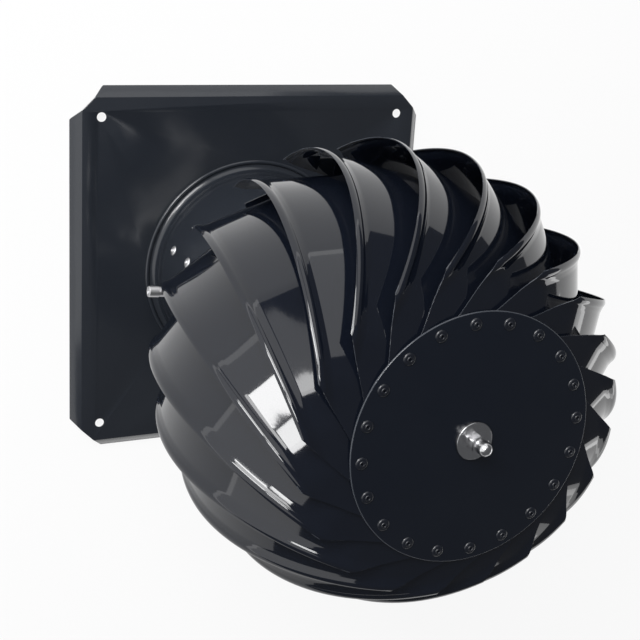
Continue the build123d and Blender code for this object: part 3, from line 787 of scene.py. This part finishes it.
# %% [markdown]
# The collar is a tube of the same sheet, flared at its foot and finished with a rolled bead on
# the plate. A plain tube would meet the plate in a hard corner, so it is turned from an outline
# with a round bead, because the bead's highlight shows.
# %% Collar
PLATE_TOP, COLLAR_TOP, COLLAR_RADIUS, COLLAR_SHEET = 8.0, 166.0, 81.0, 0.8
FLARE, BEAD_RADIUS, COLLAR_SEGMENTS = 5.0, 1.7, 144
rim = COLLAR_RADIUS + FLARE
flare_level = PLATE_TOP + FLARE + COLLAR_SHEET
collar_outline = [(COLLAR_RADIUS - COLLAR_SHEET, PLATE_TOP)]
collar_outline += [(COLLAR_RADIUS - COLLAR_SHEET, COLLAR_TOP)]
collar_outline += [(COLLAR_RADIUS - 0.1, COLLAR_TOP), (COLLAR_RADIUS, COLLAR_TOP - 0.1)]
collar_outline += [(COLLAR_RADIUS, flare_level)]
collar_outline += arc(rim, flare_level, FLARE, 185, 265, 8)
collar_outline += arc(rim + 1.6, PLATE_TOP + 0.9, BEAD_RADIUS, 150, -30, 10)
collar_outline += [(rim + 3.1, PLATE_TOP)]
collar = piece_from("collar_tube", turned(collar_outline, COLLAR_SEGMENTS))
dress(collar, plate_paint, "collar", "base")
# %% [markdown]
# Two pairs of rivets hold the bridge that carries the bearings, and a screw stands out of the
# collar on a spacer. They could stay as the CAD has them, but they are bright, so they are
# turned with soft edges that catch the light, and then laid on their sides.
# %% Rivets on the collar
BRIDGE_ANGLE = 160.6
LEG_RIVET_LEVELS = (PLATE_TOP + 32.6, PLATE_TOP + 66.1)


def radial(angle, level, distance):
    """Matrix whose +Z points outwards from the axle, in degrees and millimetres."""
    lift = Matrix.Translation((0, 0, level * MM)) @ Matrix.Rotation(radians(angle), 4, "Z")
    outwards = Matrix.Rotation(pi / 2, 4, "Y") @ Matrix.Translation((0, 0, distance * MM))
    return lift @ outwards


leg = bmesh.new()
for side in (BRIDGE_ANGLE, BRIDGE_ANGLE + 180):
    for level in LEG_RIVET_LEVELS:
        one = turned(blind_rivet_outline(), RIVET_SEGMENTS, solid=True)
        one.transform(radial(side, level, COLLAR_RADIUS))
        merge_into(leg, one)
leg_rivets = piece_from("leg_rivets", leg, RIVET_ANGLE)
dress(leg_rivets, zinc_steel, "bridge_rivets", "base")
# %% Spacer and screw on the collar
SCREW_ANGLE, SCREW_LEVEL, SPACER_LENGTH, SHANK_END = 175.42, 81.6, 20.0, -26.8
STUB_SEGMENTS = 40
spacer_outline = [(2.6, -0.6), (3.75, -0.6), (3.8, -0.5), (3.8, SPACER_LENGTH - 0.3)]
spacer_outline += [(3.6, SPACER_LENGTH), (2.6, SPACER_LENGTH)]
screw_outline = [(0.0, 7.2), (2.0, 7.2), (2.1, 7.8), (2.3, 8.0), (3.7, 8.0), (4.2, 7.5)]
screw_outline += [(4.2, 0.15), (4.05, 0.0), (2.5, 0.0), (2.5, SHANK_END), (0.0, SHANK_END)]
for name, node, outline, solid, distance in (
    ("stub_spacer", "screw_spacer", spacer_outline, False, COLLAR_RADIUS),
    ("stub_screw", "collar_screw", screw_outline, True, COLLAR_RADIUS + SPACER_LENGTH),
):
    work = turned(outline, STUB_SEGMENTS, solid)
    work.transform(radial(SCREW_ANGLE, SCREW_LEVEL, distance))
    dress(piece_from(name, work), zinc_steel, node, "base")
# %% [markdown]
# The base plate is flat sheet with four lips folded down and its corners cut off. It could be
# drawn again, but its CAD mesh is right, so a copy is merged and its folds are given a small
# radius, which catches the light as a real fold does.
# %% Base plate
FOLD_RADIUS, FOLD_ANGLE, FLAT_ANGLE = 0.35, 30, radians(1)
plate = bmesh.new()
plate.from_mesh(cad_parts["base_plate"].data)
bmesh.ops.remove_doubles(plate, verts=plate.verts, dist=MERGE_DISTANCE)
bmesh.ops.dissolve_limit(plate, angle_limit=FLAT_ANGLE, verts=plate.verts, edges=plate.edges)
plate_sheet = piece_from("plate_sheet", plate)
round_edges(plate_sheet, FOLD_RADIUS, 2, FOLD_ANGLE)
apply_modifiers(plate_sheet)
smooth_by_angle(plate_sheet.data)
dress(plate_sheet, plate_paint, "base_plate", "base")
# %% [markdown]
# What is left shows only between the blades or from below: the bridge, the housing, the
# bearings, the axle and the lower ring. Finer copies would hardly be seen, so their CAD meshes
# stay and get a finish each.
# %% Finishes of the pieces inside
finish_of = {
    "bearing_bridge": plate_paint, "lower_ring": plate_paint,
    "screw_nut": bright_steel, "housing_rivets": bright_steel, "lower_nut": bright_steel,
    "bearing_housing": turned_steel, "axle": turned_steel,
    "lower_bearing_outer_ring": bearing_steel, "upper_bearing_outer_ring": bearing_steel,
    "lower_bearing_inner_ring": bearing_steel, "upper_bearing_inner_ring": bearing_steel,
}
for node, material in finish_of.items():
    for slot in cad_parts[node].material_slots:
        slot.material = material
print(len(finish_of), "CAD nodes keep their own mesh")
# %% [markdown]
# The photograph has a pure white ground and soft shadows. Strong lamps could burn a grey floor
# out to white, but they would burn out the object too. So the floor's own colour is lifted to
# white for the camera, for reflections and for glass, and it still takes the shadow.
# %% Floor
FLOOR_HALF, FLOOR_LEVEL = 6.0, -0.0002
FLOOR_COLOUR, FLOOR_LIFT = (0.9, 0.9, 0.9, 1), 0.88
ground = bmesh.new()
corners = [(-FLOOR_HALF, -FLOOR_HALF), (FLOOR_HALF, -FLOOR_HALF), (FLOOR_HALF, FLOOR_HALF)]
corners += [(-FLOOR_HALF, FLOOR_HALF)]
ground.faces.new([ground.verts.new((x, y, FLOOR_LEVEL)) for x, y in corners])
floor = piece_from("floor", ground)


def floor_material(lift):
    """White ground that keeps its shadow: part plain colour, part seen-as-white."""
    material = bpy.data.materials.new("floor_white")
    material.use_nodes = True
    tree = material.node_tree
    tree.nodes.remove(tree.nodes["Principled BSDF"])
    paper = tree.nodes.new("ShaderNodeBsdfDiffuse")
    paper.inputs["Color"].default_value = FLOOR_COLOUR
    white = tree.nodes.new("ShaderNodeEmission")
    path = tree.nodes.new("ShaderNodeLightPath").outputs
    seen = math_node(tree, "MAXIMUM", path["Is Camera Ray"], path["Is Glossy Ray"])
    seen = math_node(tree, "MAXIMUM", seen, path["Is Transmission Ray"])
    both = tree.nodes.new("ShaderNodeMixShader")
    feed(tree, math_node(tree, "MULTIPLY", seen, lift), both.inputs[0])
    feed(tree, paper.outputs[0], both.inputs[1])
    feed(tree, white.outputs[0], both.inputs[2])
    feed(tree, both.outputs[0], tree.nodes["Material Output"].inputs["Surface"])
    return material


floor.data.materials.append(floor_material(FLOOR_LIFT))
print("floor of", 2 * FLOOR_HALF, "metres")
# %% [markdown]
# Dark gloss paint is seen by what it mirrors, so each lamp stands where the photograph's bright
# patches say that a light stood. Three tall walls give the broad pale bands on the blades, two
# small boxes the sharp window patches, one strip the long streaks, and two low walls the light
# on the globe's far side. One lamp overhead would be simpler, but it would leave the blades
# black. The world is a dim grey that fills the shadows.
# %% World
WORLD_COLOUR = (0.115, 0.118, 0.124, 1)
world = bpy.data.worlds.new("studio")
bpy.context.scene.world = world
world.use_nodes = True
background = world.node_tree.nodes["Background"].inputs
background["Color"].default_value = WORLD_COLOUR
background["Strength"].default_value = 1.0
print("world colour", WORLD_COLOUR)
# %% Lamps
GLOBE = (0, 0, 0.27)
WALL_FOOT = 0.02


def soft_box(name, place, target, width, height, power):
    """Rectangular lamp that faces a point; metres and watts."""
    lamp = bpy.data.lights.new(name, "AREA")
    lamp.shape = "RECTANGLE"
    lamp.size, lamp.size_y = width, height
    lamp.energy = power
    holder = bpy.data.objects.new(name, lamp)
    bpy.context.scene.collection.objects.link(holder)
    turn = (Vector(target) - Vector(place)).to_track_quat("-Z", "Y")
    holder.matrix_world = Matrix.Translation(place) @ turn.to_matrix().to_4x4()
    holder.visible_camera = False


def towards(turn, rise, distance):
    """Point at a direction in degrees and a distance in metres from the globe's middle."""
    flat = distance * cos(radians(rise))
    lift = distance * sin(radians(rise))
    return flat * cos(radians(turn)), flat * sin(radians(turn)), GLOBE[2] + lift


def light_wall(name, first, last, radius, height, glow):
    """Upright panel over a range of directions, standing on the floor, with a plain glow."""
    half = radians((last - first) / 2)
    middle = radians((last + first) / 2)
    width = 2 * radius * sin(half)
    flat = radius * cos(half)
    level = WALL_FOOT + height / 2
    place = (flat * cos(middle), flat * sin(middle), level)
    soft_box(name, place, (0, 0, level), width, height, glow * pi * width * height)


# Walls: first and last direction, radius, height, glow. Boxes: place, aim, width, height, watts.
light_wall("wall_left", 158, 205, 3.0, 4.0, 1.2)
light_wall("wall_middle", 106.5, 158, 3.0, 4.0, 1.2)
light_wall("wall_back", 66, 102, 3.0, 4.0, 1.2)
soft_box("window_low", towards(137, 30.5, 2.5), GLOBE, 0.35, 0.98, 20)
soft_box("window_high", towards(147.5, 49.5, 2.5), GLOBE, 0.33, 0.58, 10)
soft_box("strip", towards(122, 37, 2.4), GLOBE, 0.72, 1.5, 27)
light_wall("wall_right", -42, -8, 2.6, 0.75, 1.9)
light_wall("wall_front", -85, -43, 2.6, 0.6, 0.9)
print(len(bpy.data.lights), "lamps")
# %% [markdown]
# The camera stands where the photograph's did, and keeps its roll. It could be placed by eye,
# but it was solved from the three corner holes that show and from the ring of rivets, so that
# the outline falls where the photograph has it.
# %% Camera
CAMERA_PLACE = (-0.3765, 0.2972, 0.9574)
RIGHT, UP, BACK = (0.9127, 0.0605, 0.4041), (0.0757, 0.9468, -0.3127), (-0.4015, 0.3160, 0.8596)
FOCAL_LENGTH, SENSOR_WIDTH, NEAREST = 72.5, 36.0, 0.01
lens = bpy.data.cameras.new("photo_camera")
lens.lens = FOCAL_LENGTH
lens.sensor_width = SENSOR_WIDTH
lens.clip_start = NEAREST
camera = bpy.data.objects.new("photo_camera", lens)
bpy.context.scene.collection.objects.link(camera)
stand = Matrix((RIGHT, UP, BACK)).transposed().to_4x4()
camera.matrix_world = Matrix.Translation(CAMERA_PLACE) @ stand
bpy.context.scene.camera = camera
bpy.context.scene.view_settings.view_transform = "Standard"
print("camera at", CAMERA_PLACE)
